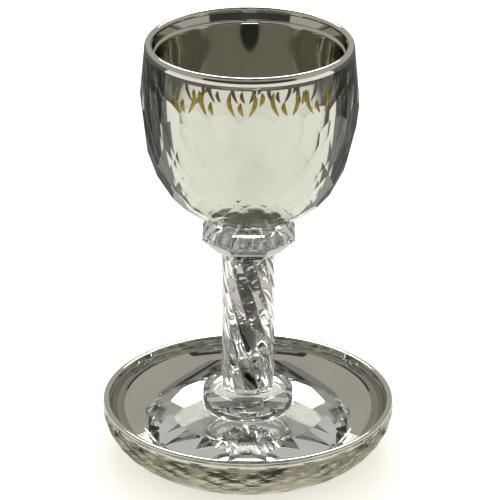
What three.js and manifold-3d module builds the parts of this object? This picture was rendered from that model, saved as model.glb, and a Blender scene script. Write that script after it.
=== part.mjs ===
// Kiddush cup of cut crystal standing in its matching saucer.
// Millimetres, +Z up, the saucer's underside on Z = 0, the axis of the cup on X = Y = 0.
// The front of the cup, where the band under the lip carries its gold marks, faces -Y.
import * as THREE from 'three';
import Module from 'manifold-3d';
import { mergeVertices } from 'three/addons/utils/BufferGeometryUtils.js';

const wasm = await Module();
wasm.setup();

const TURN = 2 * Math.PI;
const FRONT = -Math.PI / 2;
const DEGREE = Math.PI / 180;

// Joint between two pieces that rest on or are cemented to each other
const JOINT = 0.3;

// How far a cutting solid runs past the blank it cuts
const OVERRUN = 1;

// Rounding of a lip, in shares: the part of its width taken on each side of its top, how deep the
// inner side goes against the outer, and where the middle of each side lies, across and down
const LIP_ROUNDING = 0.4;
const LIP_INNER_DEPTH = 0.6;
const LIP_INNER_MIDDLE = { across: 0.35, down: 0.2 };
const LIP_OUTER_MIDDLE = { across: 0.3, down: 0.25 };

// Saucer
const SAUCER_HEIGHT = 20.5;
const SAUCER_LIP_RADIUS = 53.8;
const SAUCER_LIP_WIDTH = 2.1;
const SAUCER_BAND_TOP = 19.6;
const SAUCER_BAND_FLARE = 0.07;
const SAUCER_COLUMNS = 24;
const SAUCER_STEPS = 3;
const SAUCER_TURN = 2 * DEGREE;
const SAUCER_SCALLOP_HEIGHT = 16.9;
const SAUCER_CUT_SLOPE = 0.143;
const SAUCER_NET = [15.1, 11.8, 8.4, 5.6, 3.2, 1.9, 0.9, 0];
const SAUCER_FLOOR_HEIGHT = 4.5;
const SAUCER_FLOOR_RADIUS = 36.5;
const SAUCER_CREASE_DEPTH = 2.2;
const SAUCER_CREASE_RADIUS = 51.45;
const SAUCER_WALL_DEPTH = 2.6;
const SAUCER_WALL_RADIUS = 51.3;
const SAUCER_WALL_DRAFT = 0;
const SAUCER_WALL_POWER = 1.8;
const SAUCER_WALL_ROWS = 8;

// Foot: a flat-cut disc of crystal
const FOOT_SIDES = 16;
const FOOT_BOTTOM = SAUCER_FLOOR_HEIGHT + JOINT;
const FOOT_TOP = 15.3;
const FOOT_BASE_RADIUS = 36;
const FOOT_GIRDLE_RADIUS = 39;
const FOOT_GIRDLE_LOW = 9.9;
const FOOT_GIRDLE_HIGH = 10.8;
const FOOT_TABLE_RADIUS = 29.2;

// Lower knop: an octagonal crown over a turned underside
const KNOP_SIDES = 8;
const LOWER_KNOP_BOTTOM = FOOT_TOP + JOINT;
const LOWER_KNOP_TOP = 25.2;
const LOWER_KNOP_RADIUS = 17.2;
const LOWER_KNOP_GIRDLE = 20.2;
const LOWER_KNOP_SHOULDER = 22.6;
const LOWER_KNOP_FLAT = 16.7;
const LOWER_KNOP_TABLE_FLAT = 14.2;
const LOWER_KNOP_BASE_RADIUS = 12.5;
const LOWER_KNOP_SEGMENTS = 48;
const LOWER_KNOP_CURVE_ROWS = 5;

// Stem: a twisted, ribbed column
const STEM_BOTTOM = LOWER_KNOP_TOP + JOINT;
const STEM_TOP = 80.7;
const STEM_RADIUS = 9.7;
const STEM_RIBS = 12;
const STEM_RIB_DEPTH = 0.8;
const STEM_RIB_POWER = 0.8;
const STEM_RIB_STEPS = 4;
const STEM_TWIST = -112 * DEGREE;
const STEM_ROWS = 22;

// Upper knop: an octagon bevelled above and below its girdle
const UPPER_KNOP_BOTTOM = STEM_TOP + JOINT;
const UPPER_KNOP_TOP = 92;
const UPPER_KNOP_BASE_FLAT = 11.6;
const UPPER_KNOP_GIRDLE_FLAT = 16.8;
const UPPER_KNOP_GIRDLE_LOW = 86.5;
const UPPER_KNOP_GIRDLE_HIGH = 87.5;
const UPPER_KNOP_CHAMFER_FLAT = 15.8;
const UPPER_KNOP_CHAMFER = 89.1;
const UPPER_KNOP_TABLE_FLAT = 13.5;

// Bowl
const BOWL_BOTTOM = UPPER_KNOP_TOP + JOINT;
const RIM_HEIGHT = 161;
const RIM_RADIUS = 37.6;
const RIM_WIDTH = 2.7;
const BAND_TOP = 158;
const BAND_FLARE = 0.095;
const BOWL_COLUMNS = 16;
const BOWL_STEPS = 5;
const BOWL_TURN = 5 * DEGREE;
const BOWL_SCALLOP_HEIGHT = 138.4;
const BOWL_CUT_SLOPE = 0.108;
const BOWL_NET = [130.6, 119.9, 113, 105.8, 102.8, 99.2, 97.2, 95, BOWL_BOTTOM];
const BOWL_CREASE_DEPTH = 4.2;
const BOWL_CREASE_RADIUS = 34.2;
const BOWL_WALL_DEPTH = 5.8;
const BOWL_WALL_RADIUS = 33.3;
const BOWL_WALL_DRAFT = 0.1;
const BOWL_FLOOR_HEIGHT = 98.6;
const BOWL_FLOOR_RADIUS = 4;
const BOWL_WALL_POWER = 3.2;
const BOWL_WALL_ROWS = 12;

// Turns a profile of [radius, height] pairs about the Z axis.
function turned(profile, segments, turn = 0) {
  const outline = profile.map(([r, h]) => new THREE.Vector2(r, h));
  const geometry = new THREE.LatheGeometry(outline, segments);
  geometry.rotateX(Math.PI / 2);
  geometry.rotateZ(turn);
  return geometry;
}

// Radius of the corners of a regular polygon from the distance to its flats.
function cornerRadius(flat, sides) {
  return flat / Math.cos(Math.PI / sides);
}

// A stone ground to flats all round: [distance to the flats, height] pairs, one flat to the front.
function flatCutStone(levels, sides) {
  const outline = levels.map(([flat, h]) => [cornerRadius(flat, sides), h]);
  const bottom = [0, levels[0][1]];
  const top = [0, levels[levels.length - 1][1]];
  return turned([bottom, ...outline, top], sides, Math.PI / sides);
}

function toSolid(geometry) {
  const plain = geometry.clone();
  plain.deleteAttribute('normal');
  plain.deleteAttribute('uv');
  const merged = mergeVertices(plain, 1e-4);
  const vertProperties = new Float32Array(merged.attributes.position.array);
  const triVerts = new Uint32Array(merged.index.array);
  return new wasm.Manifold(new wasm.Mesh({ numProp: 3, vertProperties, triVerts }));
}

function toGeometry(solid) {
  const { vertProperties, triVerts } = solid.getMesh();
  const geometry = new THREE.BufferGeometry();
  geometry.setAttribute('position', new THREE.BufferAttribute(new Float32Array(vertProperties), 3));
  geometry.setIndex(new THREE.BufferAttribute(new Uint32Array(triVerts), 1));
  return geometry;
}

// Surface being built up from points and triangles.
class Surface {
  constructor() {
    this.positions = [];
    this.index = [];
  }

  point(radius, azimuth, height) {
    this.positions.push(radius * Math.cos(azimuth), radius * Math.sin(azimuth), height);
    return this.positions.length / 3 - 1;
  }

  triangle(a, b, c) {
    this.index.push(a, b, c);
  }

  quad(a, b, c, d) {
    this.triangle(a, b, c);
    this.triangle(a, c, d);
  }

  ring(radius, height, count, turn) {
    const points = [];
    for (let i = 0; i < count; i += 1) {
      points.push(this.point(radius, turn + (TURN * i) / count, height));
    }
    return points;
  }

  // Joins two rings; the surface faces outwards where the first ring is the upper one.
  band(first, second) {
    const count = first.length;
    for (let i = 0; i < count; i += 1) {
      const next = (i + 1) % count;
      this.quad(first[i], second[i], second[next], first[next]);
    }
  }

  cap(ring, centre) {
    const count = ring.length;
    for (let i = 0; i < count; i += 1) {
      this.triangle(centre, ring[i], ring[(i + 1) % count]);
    }
  }

  geometry() {
    const geometry = new THREE.BufferGeometry();
    geometry.setAttribute('position', new THREE.Float32BufferAttribute(this.positions, 3));
    geometry.setIndex(this.index);
    return geometry;
  }
}

// Radii of the corners of a net of lozenge facets.
// Each lozenge has a top corner, two side corners half a column away and a bottom corner, all in one
// plane; the first plane runs down from the scalloped edge of the plain band.
function netRadii(cut, columns, heights) {
  const narrowing = Math.cos(Math.PI / columns);
  const flatAt = (h) => cut.flat - cut.slope * (cut.height - h);
  const radii = [flatAt(heights[0]) / narrowing, flatAt(heights[1])];
  for (let k = 2; k < heights.length; k += 1) {
    const run = (heights[k - 2] - heights[k]) / (heights[k - 2] - heights[k - 1]);
    radii.push(radii[k - 2] + (radii[k - 1] * narrowing - radii[k - 2]) * run);
  }
  return radii;
}

// Height at which the band meets the first row's facet, at an angle from the facet's middle.
function scallopHeight(band, cut, angle) {
  const shrink = Math.cos(angle);
  const bandAtZero = (band.radius + band.flare * band.top) * shrink;
  const facetAtZero = cut.flat - cut.slope * cut.height;
  return (bandAtZero - facetAtZero) / (cut.slope + band.flare * shrink);
}

// A vessel, plain inside and at the band under its lip, cut outside with rows of lozenge facets.
function cutVessel({ columns, steps, turn, inner, lip, band, scallopAt, slope, heights }) {
  const surface = new Surface();
  const count = columns * steps;
  const half = Math.PI / columns;
  const scallopRadius = band.radius + band.flare * (band.top - scallopAt);
  const cut = { flat: scallopRadius * Math.cos(half), height: scallopAt, slope };

  // inside from the floor up, over the lip and down to the plain band
  const wall = [...inner, ...lip].map(([r, h]) => surface.ring(r, h, count, turn - half));
  const floorCentre = surface.point(0, 0, inner[0][1]);
  surface.cap(wall[0], floorCentre);
  for (let k = 1; k < wall.length; k += 1) {
    surface.band(wall[k - 1], wall[k]);
  }

  // scalloped edge of the plain band
  const edge = [];
  for (let i = 0; i < count; i += 1) {
    const angle = ((i % steps) / steps) * 2 * half - half;
    const height = scallopHeight(band, cut, angle);
    const radius = band.radius + band.flare * (band.top - height);
    edge.push(surface.point(radius, turn - half + (TURN * i) / count, height));
  }
  surface.band(wall[wall.length - 1], edge);

  // corners of the net, each level half a column round from the last
  const radii = netRadii(cut, columns, heights);
  const corners = heights.map((h, k) => {
    const start = turn + (k % 2 === 0 ? -half : 0);
    return surface.ring(radii[k], h, columns, start);
  });

  for (let i = 0; i < columns; i += 1) {
    const next = (i + 1) % columns;
    const bottom = corners[1][i];
    for (let s = 0; s < steps; s += 1) {
      surface.triangle(bottom, edge[(i * steps + s + 1) % count], edge[i * steps + s]);
    }
    surface.triangle(bottom, corners[0][next], edge[next * steps]);
    surface.triangle(bottom, edge[i * steps], corners[0][i]);
  }
  for (let k = 0; k + 2 < heights.length; k += 1) {
    const shift = k % 2 === 0 ? columns - 1 : 0;
    for (let i = 0; i < columns; i += 1) {
      const left = corners[k + 1][(i + shift) % columns];
      const right = corners[k + 1][(i + shift + 1) % columns];
      surface.quad(corners[k][i], left, corners[k + 2][i], right);
    }
  }

  // last row of half lozenges, and the flat underside
  const low = corners[heights.length - 2];
  const base = corners[heights.length - 1];
  const shift = heights.length % 2 === 0 ? columns - 1 : 0;
  for (let i = 0; i < columns; i += 1) {
    const left = base[(i + shift) % columns];
    const right = base[(i + shift + 1) % columns];
    surface.triangle(low[i], left, right);
  }
  const baseCentre = surface.point(0, 0, heights[heights.length - 1]);
  for (let i = 0; i < columns; i += 1) {
    surface.triangle(baseCentre, base[(i + 1) % columns], base[i]);
  }
  return surface.geometry();
}

// Inner wall that rises from a rounded floor and draws in a little from its top to its foot:
// [radius, height] pairs from the floor's edge up to the crease under the lip.
function innerWall({ floor, top, crease, draft, power, rows }) {
  const wall = [[floor.radius, floor.height]];
  for (let k = 1; k <= rows; k += 1) {
    const angle = (Math.PI / 2) * (k / rows);
    const out = Math.sin(angle) ** (2 / power);
    const up = 1 - Math.cos(angle) ** (2 / power);
    const height = floor.height + (top.height - floor.height) * up;
    const reach = top.radius - draft * (top.height - height) - floor.radius;
    wall.push([floor.radius + reach * out, height]);
  }
  wall.push([crease.radius, crease.height]);
  return wall;
}

// Lip rounded over from the inside to the outside.
function roundedLip(outerRadius, width, height, drop) {
  const soft = width * LIP_ROUNDING;
  const innerRadius = outerRadius - width;
  return [
    [innerRadius, height - drop * LIP_INNER_DEPTH],
    [innerRadius + soft * LIP_INNER_MIDDLE.across, height - drop * LIP_INNER_MIDDLE.down],
    [innerRadius + soft, height],
    [outerRadius - soft, height],
    [outerRadius - soft * LIP_OUTER_MIDDLE.across, height - drop * LIP_OUTER_MIDDLE.down],
    [outerRadius, height - drop],
  ];
}

function makeSaucer() {
  const inner = innerWall({
    floor: { radius: SAUCER_FLOOR_RADIUS, height: SAUCER_FLOOR_HEIGHT },
    top: { radius: SAUCER_WALL_RADIUS, height: SAUCER_HEIGHT - SAUCER_WALL_DEPTH },
    crease: { radius: SAUCER_CREASE_RADIUS, height: SAUCER_HEIGHT - SAUCER_CREASE_DEPTH },
    draft: SAUCER_WALL_DRAFT,
    power: SAUCER_WALL_POWER,
    rows: SAUCER_WALL_ROWS,
  });
  const drop = SAUCER_HEIGHT - SAUCER_BAND_TOP;
  return cutVessel({
    columns: SAUCER_COLUMNS,
    steps: SAUCER_STEPS,
    turn: FRONT + SAUCER_TURN,
    inner,
    lip: roundedLip(SAUCER_LIP_RADIUS, SAUCER_LIP_WIDTH, SAUCER_HEIGHT, drop),
    band: { radius: SAUCER_LIP_RADIUS, flare: SAUCER_BAND_FLARE, top: SAUCER_BAND_TOP },
    scallopAt: SAUCER_SCALLOP_HEIGHT,
    slope: SAUCER_CUT_SLOPE,
    heights: SAUCER_NET,
  });
}

function makeBowl() {
  const inner = innerWall({
    floor: { radius: BOWL_FLOOR_RADIUS, height: BOWL_FLOOR_HEIGHT },
    top: { radius: BOWL_WALL_RADIUS, height: RIM_HEIGHT - BOWL_WALL_DEPTH },
    crease: { radius: BOWL_CREASE_RADIUS, height: RIM_HEIGHT - BOWL_CREASE_DEPTH },
    draft: BOWL_WALL_DRAFT,
    power: BOWL_WALL_POWER,
    rows: BOWL_WALL_ROWS,
  });
  const drop = RIM_HEIGHT - BAND_TOP;
  return cutVessel({
    columns: BOWL_COLUMNS,
    steps: BOWL_STEPS,
    turn: FRONT + BOWL_TURN,
    inner,
    lip: roundedLip(RIM_RADIUS, RIM_WIDTH, RIM_HEIGHT, drop),
    band: { radius: RIM_RADIUS, flare: BAND_FLARE, top: BAND_TOP },
    scallopAt: BOWL_SCALLOP_HEIGHT,
    slope: BOWL_CUT_SLOPE,
    heights: BOWL_NET,
  });
}

function makeFoot() {
  const profile = [
    [0, FOOT_BOTTOM],
    [FOOT_BASE_RADIUS, FOOT_BOTTOM],
    [FOOT_GIRDLE_RADIUS, FOOT_GIRDLE_LOW],
    [FOOT_GIRDLE_RADIUS, FOOT_GIRDLE_HIGH],
    [FOOT_TABLE_RADIUS, FOOT_TOP],
    [0, FOOT_TOP],
  ];
  return turned(profile, FOOT_SIDES, Math.PI / FOOT_SIDES);
}

function makeLowerKnop() {
  const profile = [[0, LOWER_KNOP_BOTTOM]];
  for (let k = 0; k <= LOWER_KNOP_CURVE_ROWS; k += 1) {
    const angle = (Math.PI / 2) * (k / LOWER_KNOP_CURVE_ROWS);
    const swell = (LOWER_KNOP_RADIUS - LOWER_KNOP_BASE_RADIUS) * Math.sin(angle);
    const lift = (LOWER_KNOP_GIRDLE - LOWER_KNOP_BOTTOM) * (1 - Math.cos(angle));
    profile.push([LOWER_KNOP_BASE_RADIUS + swell, LOWER_KNOP_BOTTOM + lift]);
  }
  profile.push([LOWER_KNOP_RADIUS, LOWER_KNOP_TOP]);
  profile.push([0, LOWER_KNOP_TOP]);
  const blank = toSolid(turned(profile, LOWER_KNOP_SEGMENTS, Math.PI / LOWER_KNOP_SEGMENTS));
  const lean = (LOWER_KNOP_RADIUS - LOWER_KNOP_FLAT) / (LOWER_KNOP_SHOULDER - LOWER_KNOP_GIRDLE);
  const skirtHeight = LOWER_KNOP_BOTTOM - OVERRUN;
  const skirtFlat = LOWER_KNOP_FLAT + lean * (LOWER_KNOP_SHOULDER - skirtHeight);
  const flats = toSolid(flatCutStone(
    [
      [skirtFlat, skirtHeight],
      [LOWER_KNOP_FLAT, LOWER_KNOP_SHOULDER],
      [LOWER_KNOP_TABLE_FLAT, LOWER_KNOP_TOP],
    ],
    KNOP_SIDES,
  ));
  return toGeometry(blank.intersect(flats));
}

// Distance from the axis to the ribbed side, at an angle round a rib from its crest.
function ribRadius(step) {
  const across = Math.abs(Math.sin((Math.PI * step) / STEM_RIB_STEPS));
  return STEM_RADIUS - STEM_RIB_DEPTH * (1 - across ** STEM_RIB_POWER);
}

function makeStem() {
  const surface = new Surface();
  const count = STEM_RIBS * STEM_RIB_STEPS;
  const rings = [];
  for (let row = 0; row <= STEM_ROWS; row += 1) {
    const height = STEM_BOTTOM + ((STEM_TOP - STEM_BOTTOM) * row) / STEM_ROWS;
    const twist = FRONT + (STEM_TWIST * row) / STEM_ROWS;
    const ring = [];
    for (let i = 0; i < count; i += 1) {
      ring.push(surface.point(ribRadius(i % STEM_RIB_STEPS), twist + (TURN * i) / count, height));
    }
    rings.push(ring);
  }
  for (let row = 1; row < rings.length; row += 1) {
    surface.band(rings[row], rings[row - 1]);
  }
  surface.cap(rings[STEM_ROWS], surface.point(0, 0, STEM_TOP));
  const bottom = surface.point(0, 0, STEM_BOTTOM);
  for (let i = 0; i < count; i += 1) {
    surface.triangle(bottom, rings[0][(i + 1) % count], rings[0][i]);
  }
  return surface.geometry();
}

function makeUpperKnop() {
  return flatCutStone(
    [
      [UPPER_KNOP_BASE_FLAT, UPPER_KNOP_BOTTOM],
      [UPPER_KNOP_GIRDLE_FLAT, UPPER_KNOP_GIRDLE_LOW],
      [UPPER_KNOP_GIRDLE_FLAT, UPPER_KNOP_GIRDLE_HIGH],
      [UPPER_KNOP_CHAMFER_FLAT, UPPER_KNOP_CHAMFER],
      [UPPER_KNOP_TABLE_FLAT, UPPER_KNOP_TOP],
    ],
    KNOP_SIDES,
  );
}

function piece(name, geometry, material) {
  const mesh = new THREE.Mesh(geometry, new THREE.MeshStandardMaterial(material));
  mesh.name = name;
  return mesh;
}

const SILVERED = { color: 0xbdb9aa, roughness: 0.12, metalness: 0.9 };
const CRYSTAL = { color: 0xdfe6e4, roughness: 0.03, metalness: 0 };
const FILLED = { color: 0x8a8983, roughness: 0.15, metalness: 0.2 };

const cup = new THREE.Group();
cup.name = 'kiddush_cup';
cup.add(piece('saucer', makeSaucer(), SILVERED));
cup.add(piece('foot', makeFoot(), CRYSTAL));
cup.add(piece('lower_knop', makeLowerKnop(), CRYSTAL));
cup.add(piece('stem', makeStem(), FILLED));
cup.add(piece('upper_knop', makeUpperKnop(), CRYSTAL));
cup.add(piece('bowl', makeBowl(), SILVERED));

export default cup;
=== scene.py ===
"""Looks of a kiddush cup of silvered cut crystal and its saucer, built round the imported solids."""

import math
from collections import namedtuple

import bmesh
import bpy
from bpy.props import FloatProperty, FloatVectorProperty, IntProperty, PointerProperty
from mathutils import Matrix, Vector


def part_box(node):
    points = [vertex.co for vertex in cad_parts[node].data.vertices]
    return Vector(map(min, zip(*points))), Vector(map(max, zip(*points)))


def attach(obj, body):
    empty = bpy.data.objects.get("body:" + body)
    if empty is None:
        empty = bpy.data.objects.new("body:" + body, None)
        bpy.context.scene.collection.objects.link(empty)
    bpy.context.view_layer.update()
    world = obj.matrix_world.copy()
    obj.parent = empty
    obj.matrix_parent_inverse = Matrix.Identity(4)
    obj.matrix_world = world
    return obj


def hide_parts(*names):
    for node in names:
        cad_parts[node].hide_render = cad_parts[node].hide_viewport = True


bl_info = {
    "name": "Kiddush Cup",
    "version": (1, 0, 0),
    "blender": (4, 5, 0),
    "location": "View3D > Sidebar > Kiddush Cup",
    "description": "Builds the crystal, silver and gold pieces of a kiddush cup and its saucer",
    "category": "Add Mesh",
}

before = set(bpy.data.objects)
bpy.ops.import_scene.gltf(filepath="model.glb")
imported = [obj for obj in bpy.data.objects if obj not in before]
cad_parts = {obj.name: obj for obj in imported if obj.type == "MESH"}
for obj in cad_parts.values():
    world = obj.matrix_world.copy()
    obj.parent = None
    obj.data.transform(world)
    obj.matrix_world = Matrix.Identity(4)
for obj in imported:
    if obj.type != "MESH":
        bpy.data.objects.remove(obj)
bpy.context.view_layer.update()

MM = 0.001
TURN = 2 * math.pi
FRONT = -math.pi / 2

SAUCER_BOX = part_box("saucer")
FOOT_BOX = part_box("foot")
LOWER_KNOP_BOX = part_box("lower_knop")
STEM_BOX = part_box("stem")
UPPER_KNOP_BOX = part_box("upper_knop")
BOWL_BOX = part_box("bowl")


# ---------------------------------------------------------------- sizes and colours


def length(name, description, default):
    return FloatProperty(name=name, description=description, default=default, unit="LENGTH")


def angle(name, description, degrees):
    return FloatProperty(
        name=name, description=description, default=math.radians(degrees), subtype="ANGLE"
    )


def ratio(name, description, default):
    return FloatProperty(name=name, description=description, default=default)


def colour(name, description, default):
    return FloatVectorProperty(
        name=name, description=description, default=default, subtype="COLOR", min=0, max=1
    )


class BowlSizes(bpy.types.PropertyGroup):
    """Sizes of the bowl."""

    rim_radius: length("Rim radius", "Outside radius of the plain band at its top", 37.6 * MM)
    lip_width: length("Lip width", "Width of the rounded lip", 2.7 * MM)
    lip_drop: length("Lip drop", "Depth of the outer rounding of the lip", 3 * MM)
    lip_inner_drop: length("Inner lip drop", "Depth of the inner rounding of the lip", 1.8 * MM)
    crease_depth: length("Crease depth", "Depth of the crease inside, below the lip", 4.2 * MM)
    crease_radius: length("Crease radius", "Inside radius at the crease", 34.2 * MM)
    flare: ratio("Band flare", "Outward run of the band for each unit down", 0.095)
    scallop: length("Scallop height", "Height of the low corners of the band's edge", 138.4 * MM)
    cut_slope: ratio("Cut slope", "Inward run of the first facets for each unit down", 0.108)
    cut_turn: angle("Cut turn", "Turn of a facet's middle from the front", 5)
    wall_depth: length("Wall depth", "Depth of the top of the inner wall, below the lip", 5.8 * MM)
    wall_radius: length("Wall radius", "Radius of the top of the inner wall", 33.3 * MM)
    wall_draft: ratio("Wall draft", "Inward run of the inner wall for each unit down", 0.1)
    base_radius: length("Base radius", "Radius of the cemented underside", 10.8 * MM)
    floor_radius: length("Floor radius", "Inside radius of the flat floor", 4 * MM)
    floor_height: length("Floor height", "Height of the floor inside", 98.6 * MM)
    wall_power: ratio("Wall power", "How full the inside curve is", 3.2)


class SaucerSizes(bpy.types.PropertyGroup):
    """Sizes of the saucer."""

    rim_radius: length("Rim radius", "Outside radius of the plain band at its top", 53.8 * MM)
    lip_width: length("Lip width", "Width of the rounded lip", 2.1 * MM)
    lip_drop: length("Lip drop", "Depth of the outer rounding of the lip", 0.9 * MM)
    lip_inner_drop: length("Inner lip drop", "Depth of the inner rounding of the lip", 0.54 * MM)
    crease_depth: length("Crease depth", "Depth of the crease inside, below the lip", 2.2 * MM)
    crease_radius: length("Crease radius", "Inside radius at the crease", 51.45 * MM)
    flare: ratio("Band flare", "Outward run of the band for each unit down", 0.07)
    scallop: length("Scallop height", "Height of the low corners of the band's edge", 16.9 * MM)
    cut_slope: ratio("Cut slope", "Inward run of the first facets for each unit down", 0.143)
    cut_turn: angle("Cut turn", "Turn of a facet's middle from the front", 2)
    wall_depth: length("Wall depth", "Depth of the top of the inner wall, below the lip", 2.6 * MM)
    wall_radius: length("Wall radius", "Radius of the top of the inner wall", 51.3 * MM)
    wall_draft: ratio("Wall draft", "Inward run of the inner wall for each unit down", 0.0)
    floor_radius: length("Floor radius", "Inside radius of the flat floor", 36.5 * MM)
    floor_height: length("Floor height", "Height of the floor inside", 4.5 * MM)
    wall_power: ratio("Wall power", "How full the inside curve is", 1.8)


class StoneSizes(bpy.types.PropertyGroup):
    """Sizes of the flat-cut foot and knops."""

    edge: length("Edge rounding", "Width of the polished edge between two facets", 0.12 * MM)
    foot_base: length("Foot base", "Radius of the corners of the foot's underside", 36 * MM)
    foot_girdle_low: length("Foot girdle, low", "Lower edge of the foot's girdle", 9.9 * MM)
    foot_girdle_high: length("Foot girdle, high", "Upper edge of the foot's girdle", 10.8 * MM)
    foot_table: length("Foot table", "Radius of the corners of the foot's table", 29.2 * MM)
    lower_base: length("Lower knop base", "Radius of the lower knop's underside", 12.5 * MM)
    lower_radius: length("Lower knop radius", "Radius of the turned girdle", 17.2 * MM)
    lower_girdle: length("Lower knop girdle", "Height of the turned girdle", 20.2 * MM)
    lower_shoulder: length("Lower knop shoulder", "Height where the crown begins", 22.6 * MM)
    lower_flat: length("Lower knop flat", "Distance to the flats at the shoulder", 16.7 * MM)
    lower_table: length("Lower knop table", "Distance to the flats at the table", 14.2 * MM)
    upper_base: length("Upper knop base", "Distance to the flats at the underside", 11.6 * MM)
    upper_girdle: length("Upper knop girdle", "Distance to the flats at the girdle", 16.8 * MM)
    upper_girdle_low: length("Upper girdle, low", "Lower edge of the girdle", 86.5 * MM)
    upper_girdle_high: length("Upper girdle, high", "Upper edge of the girdle", 87.5 * MM)
    upper_chamfer: length("Upper chamfer", "Distance to the flats over the chamfer", 15.8 * MM)
    upper_chamfer_at: length("Upper chamfer height", "Height of the chamfer", 89.1 * MM)
    upper_table: length("Upper knop table", "Distance to the flats at the table", 13.5 * MM)


class StemSizes(bpy.types.PropertyGroup):
    """Sizes of the twisted tube and its filling."""

    radius: length("Radius", "Radius over the ribs", 9.7 * MM)
    rib_depth: length("Rib depth", "Depth of the grooves between the ribs", 0.8 * MM)
    rib_power: ratio("Rib power", "How round the ribs are", 0.8)
    ribs: IntProperty(name="Ribs", description="Number of ribs", default=12)
    twist: angle("Twist", "Turn of the ribs from bottom to top", -112)
    bore: length("Bore", "Radius of the tube's bore", 5.2 * MM)
    end_wall: length("End wall", "Thickness of glass that closes each end", 0.5 * MM)
    chips: IntProperty(name="Chips", description="Number of chips in the bore", default=760)
    chip_size: length("Chip size", "Middle radius of a chip", 1.0 * MM)


class MarkSizes(bpy.types.PropertyGroup):
    """Sizes of the gold strokes under the lip."""

    height: length("Height", "Height of the middle of the row", 151.8 * MM)
    tall: length("Stroke height", "Height of a full stroke", 9.0 * MM)
    wide: length("Stroke width", "Width of a stroke at its middle", 1.65 * MM)
    droop: length("Droop", "How far the row falls at its ends", 2.0 * MM)
    thick: length("Thickness", "Thickness of the gold", 0.04 * MM)
    gap: length("Gap", "Clearance between gold and glass", 0.02 * MM)


class CupColours(bpy.types.PropertyGroup):
    """Colours of the cup's finishes."""

    crystal: colour("Crystal", "Tint of the cut crystal", (0.91, 0.94, 0.93))
    tube: colour("Tube", "Tint of the stem's glass", (0.97, 0.96, 0.93))
    silver: colour("Silver", "Tint of the silver lining", (0.62, 0.61, 0.56))
    silver_worn: colour("Worn silver", "Tint where the silver is dull", (0.54, 0.53, 0.48))
    chip_dark: colour("Dark chips", "Tint of the darkest chips", (0.03, 0.03, 0.03))
    chip_pale: colour("Pale chips", "Tint of the palest chips", (0.42, 0.39, 0.3))
    gold: colour("Gold", "Tint of the gold strokes", (0.36, 0.27, 0.05))
    floor: colour("Floor", "Colour of the studio floor", (0.5, 0.495, 0.47))


SETTINGS = {
    "cup_bowl": BowlSizes,
    "cup_saucer": SaucerSizes,
    "cup_stones": StoneSizes,
    "cup_stem": StemSizes,
    "cup_marks": MarkSizes,
    "cup_colours": CupColours,
}

# Heights of the corners of each net of lozenge facets, from the scalloped edge to the underside
BOWL_NET = [h * MM for h in (130.6, 119.9, 113, 105.8, 102.8, 99.2, 97.2, 95)]
BOWL_NET.append(BOWL_BOX[0].z)
SAUCER_NET = [h * MM for h in (15.1, 11.8, 8.4, 5.6, 3.2, 1.9, 0.9)]
SAUCER_NET.append(SAUCER_BOX[0].z)

Cut = namedtuple("Cut", "columns steps heights")
BOWL_CUT = Cut(16, 16, BOWL_NET)
SAUCER_CUT = Cut(24, 10, SAUCER_NET)

# Rows and fullness of the curves inside and over the lip of a vessel
WALL_ROWS = 44
ROLL_ROWS = 5
ROLL_POWER = 1.7
LIP_ROWS = 8
LIP_POWER = 2.3

# Material slots of the crystal pieces
GLASS, CEMENT, SILVER = 0, 1, 2

# Points round a cemented disc for each side of the stone, and how near to its end a tube is closed
CEMENT_STEPS = 6
END_SLACK = 0.1 * MM

# Least turn between two facets whose edge gets a polished bevel
LEAST_EDGE_TURN = math.radians(5)

FOOT_SIDES = 16
KNOP_SIDES = 8
TURNED_SEGMENTS = 128
TURNED_ROWS = 14

TUBE_SEGMENTS = 144
TUBE_ROWS = 110
BORE_SEGMENTS = 64


# ---------------------------------------------------------------- mesh helpers


class Shell:
    """Points and faces of one piece; each face knows its material slot and whether it is smooth."""

    def __init__(self):
        self.points = []
        self.faces = []
        self.slots = []
        self.smooth = []
        self.creases = set()

    def point(self, radius, azimuth, height):
        self.points.append((radius * math.cos(azimuth), radius * math.sin(azimuth), height))
        return len(self.points) - 1

    def ring(self, radius, height, count, turn):
        return [self.point(radius, turn + TURN * i / count, height) for i in range(count)]

    def face(self, corners, slot, smooth=False):
        self.faces.append(corners)
        self.slots.append(slot)
        self.smooth.append(smooth)

    def band(self, first, second, slot, smooth=True):
        """Joins two rings; the faces look outwards where the first ring is the upper one."""
        for i, corner in enumerate(first):
            after = (i + 1) % len(first)
            self.face((corner, second[i], second[after], first[after]), slot, smooth)

    def crease(self, ring):
        """Keeps the edge along a ring crisp."""
        for i, corner in enumerate(ring):
            self.creases.add(frozenset((corner, ring[(i + 1) % len(ring)])))

    def build(self, name, materials):
        mesh = bpy.data.meshes.new(name)
        mesh.from_pydata(self.points, [], self.faces)
        for material in materials:
            mesh.materials.append(material)
        mesh.polygons.foreach_set("material_index", self.slots)
        mesh.polygons.foreach_set("use_smooth", self.smooth)
        for edge in mesh.edges:
            edge.use_edge_sharp = frozenset(edge.vertices) in self.creases
        mesh.validate()
        return place(name, mesh)


def place(name, mesh):
    piece = bpy.data.objects.new(name, mesh)
    bpy.context.scene.collection.objects.link(piece)
    return piece


def finish_piece(piece, slot, *nodes):
    """Fixes a finished piece to the cup in place of the solids that it stands for."""
    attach(piece, "root")
    if nodes:
        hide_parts(*nodes)
    return piece


# ---------------------------------------------------------------- bowl and saucer


def quarter(start, end, rows, power):
    """Points after start along a quarter of a superellipse that leaves start upright and ends level."""
    points = []
    for k in range(1, rows + 1):
        turn = math.pi / 2 * k / rows
        up = math.sin(turn) ** (2 / power)
        out = 1 - math.cos(turn) ** (2 / power)
        points.append((start[0] + (end[0] - start[0]) * out, start[1] + (end[1] - start[1]) * up))
    return points


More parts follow.
